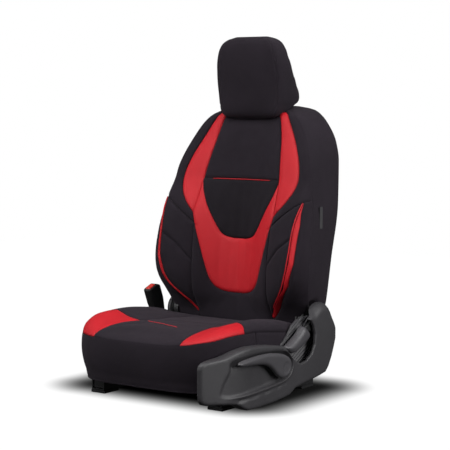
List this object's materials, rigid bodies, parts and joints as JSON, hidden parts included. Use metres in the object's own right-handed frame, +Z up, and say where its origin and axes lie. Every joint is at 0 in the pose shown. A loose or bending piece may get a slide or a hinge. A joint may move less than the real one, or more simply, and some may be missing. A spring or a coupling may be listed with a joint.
{
  "type": "car seat cover set on front seat",
  "caption": "Fitted two-tone car seat cover set for backrest, cushion and head restraint, worn by a manual front seat with side shield, tracks, lift, recliner and belt buckle.",
  "frame": {"origin": "centre of the bottom of the bounding box, on the floor under the track feet", "axes": "+Z up, the seat faces -Y, +X is the door side with the side shield"},
  "size_m": [0.602, 0.6799, 0.983],
  "materials": {
    "black_fabric": "woven, matt",
    "red_leather": "fine grained artificial leather, satin",
    "seat_foam": "moulded polyurethane foam, open cell",
    "grey_plastic": "finely grained",
    "black_plastic": "finely grained",
    "red_plastic": "smooth",
    "black_steel": "black dip coat",
    "zinc_steel": "zinc plated",
    "chromed_steel": "polished",
    "label_fabric": "woven ribbon"
  },
  "bodies": {
    "floor_track": {"lower_rail_left": "zinc_steel", "rail_foot_front_left": "black_steel", "rail_foot_rear_left": "black_steel", "lower_rail_right": "zinc_steel", "rail_foot_front_right": "black_steel", "rail_foot_rear_right": "black_steel"},
    "carriage": {"upper_rail_left": "zinc_steel", "upper_rail_right": "zinc_steel"},
    "track_bar": {"track_release_bar": "black_steel"},
    "front_links": {"front_lift_link_left": "black_steel", "front_lift_link_right": "black_steel", "front_torque_tube": "black_steel"},
    "rear_links": {"rear_lift_link_left": "black_steel", "rear_lift_link_right": "black_steel", "rear_torque_tube": "black_steel"},
    "cushion_frame": {"cushion_side_member_left": "black_steel", "cushion_side_member_right": "black_steel", "recliner_disc_left": "black_steel", "recliner_disc_right": "black_steel", "seat_pan": "black_steel", "rear_cross_tube": "black_steel", "lift_pump": "black_steel", "inner_recliner_cover": "grey_plastic", "side_shield": "grey_plastic", "pocket_liner": "black_plastic", "buckle_anchor_bolt": "zinc_steel", "cushion_foam": "seat_foam", "cushion_cover": "black_fabric", "cushion_insert_left": "red_leather", "cushion_insert_right": "red_leather", "cushion_skirt_front": "black_fabric", "cushion_skirt_left": "black_fabric", "cushion_skirt_right": "black_fabric"},
    "lift_handle": {"lift_lever": "grey_plastic"},
    "recline_release": {"recline_lever": "grey_plastic", "recliner_sync_shaft": "zinc_steel"},
    "buckle": {"buckle_stalk": "black_plastic", "buckle_housing": "black_plastic"},
    "buckle_push": {"buckle_button": "red_plastic"},
    "backrest": {"backrest_side_member_left": "black_steel", "backrest_side_member_right": "black_steel", "headrest_sleeve_left": "black_plastic", "headrest_sleeve_right": "black_plastic", "backrest_foam": "seat_foam", "backrest_cover": "black_fabric", "backrest_wing_left": "red_leather", "backrest_wing_right": "red_leather", "backrest_yoke": "red_leather", "backrest_wedge_left": "red_leather", "backrest_wedge_right": "red_leather", "backrest_top_tube": "black_steel", "backrest_lower_member": "black_steel", "lumbar_mat": "zinc_steel", "side_tag": "label_fabric"},
    "headrest_push": {"headrest_release_button": "black_plastic"},
    "headrest": {"headrest_posts": "chromed_steel", "headrest_core": "black_plastic", "headrest_foam": "seat_foam", "headrest_cover": "black_fabric"}
  },
  "joints": [
    {"name": "track_slide", "type": "slide", "parent": "floor_track", "child": "carriage", "axis": [0, -1, 0], "range_m": [-0.12, 0.1]},
    {"name": "track_bar_lift", "type": "hinge", "parent": "carriage", "child": "track_bar", "pos_m": [-0.001, -0.088, 0.066], "axis": [-1, 0, 0], "range_deg": [0, 8], "stiffness_Nm_per_rad": 1, "springref_deg": -17.19},
    {"name": "front_lift", "type": "hinge", "parent": "carriage", "child": "front_links", "pos_m": [-0.001, -0.16, 0.074], "axis": [1, 0, 0], "range_deg": [0, 35]},
    {"name": "cushion_level", "type": "hinge", "parent": "front_links", "child": "cushion_frame", "pos_m": [-0.001, -0.07307, 0.09729], "axis": [1, 0, 0], "range_deg": [-35, 0]},
    {"name": "rear_lift", "type": "hinge", "parent": "cushion_frame", "child": "rear_links", "pos_m": [-0.001, 0.11893, 0.09729], "axis": [1, 0, 0], "range_deg": [0, 35]},
    {"name": "recline", "type": "hinge", "parent": "cushion_frame", "child": "backrest", "pos_m": [-0.001, 0.187, 0.19], "axis": [-1, 0, 0], "range_deg": [-12, 40]},
    {"name": "recline_pull", "type": "hinge", "parent": "cushion_frame", "child": "recline_release", "pos_m": [-0.001, 0.187, 0.19], "axis": [-1, 0, 0], "range_deg": [0, 15], "stiffness_Nm_per_rad": 3, "springref_deg": -8.59},
    {"name": "lift_pump_stroke", "type": "hinge", "parent": "cushion_frame", "child": "lift_handle", "pos_m": [0.289, -0.03, 0.092], "axis": [-1, 0, 0], "range_deg": [-12, 12], "stiffness_Nm_per_rad": 10},
    {"name": "buckle_swing", "type": "hinge", "parent": "cushion_frame", "child": "buckle", "pos_m": [-0.257, 0.177, 0.105], "axis": [1, 0, 0], "range_deg": [-15, 15]},
    {"name": "buckle_press", "type": "slide", "parent": "buckle", "child": "buckle_push", "axis": [0, 0.3746, -0.9272], "range_m": [0, 0.004], "stiffness_N_per_m": 600, "springref_m": -0.003},
    {"name": "headrest_height", "type": "slide", "parent": "backrest", "child": "headrest", "axis": [0, 0, 1], "range_m": [0, 0.07]},
    {"name": "headrest_release", "type": "slide", "parent": "backrest", "child": "headrest_push", "axis": [-1, 0, 0], "range_m": [0, 0.003], "stiffness_N_per_m": 500, "springref_m": -0.003}
  ],
  "couplings": [
    {"joint": "cushion_level", "follows": "front_lift", "ratio": -1},
    {"joint": "rear_lift", "follows": "front_lift", "ratio": 1}
  ]
}
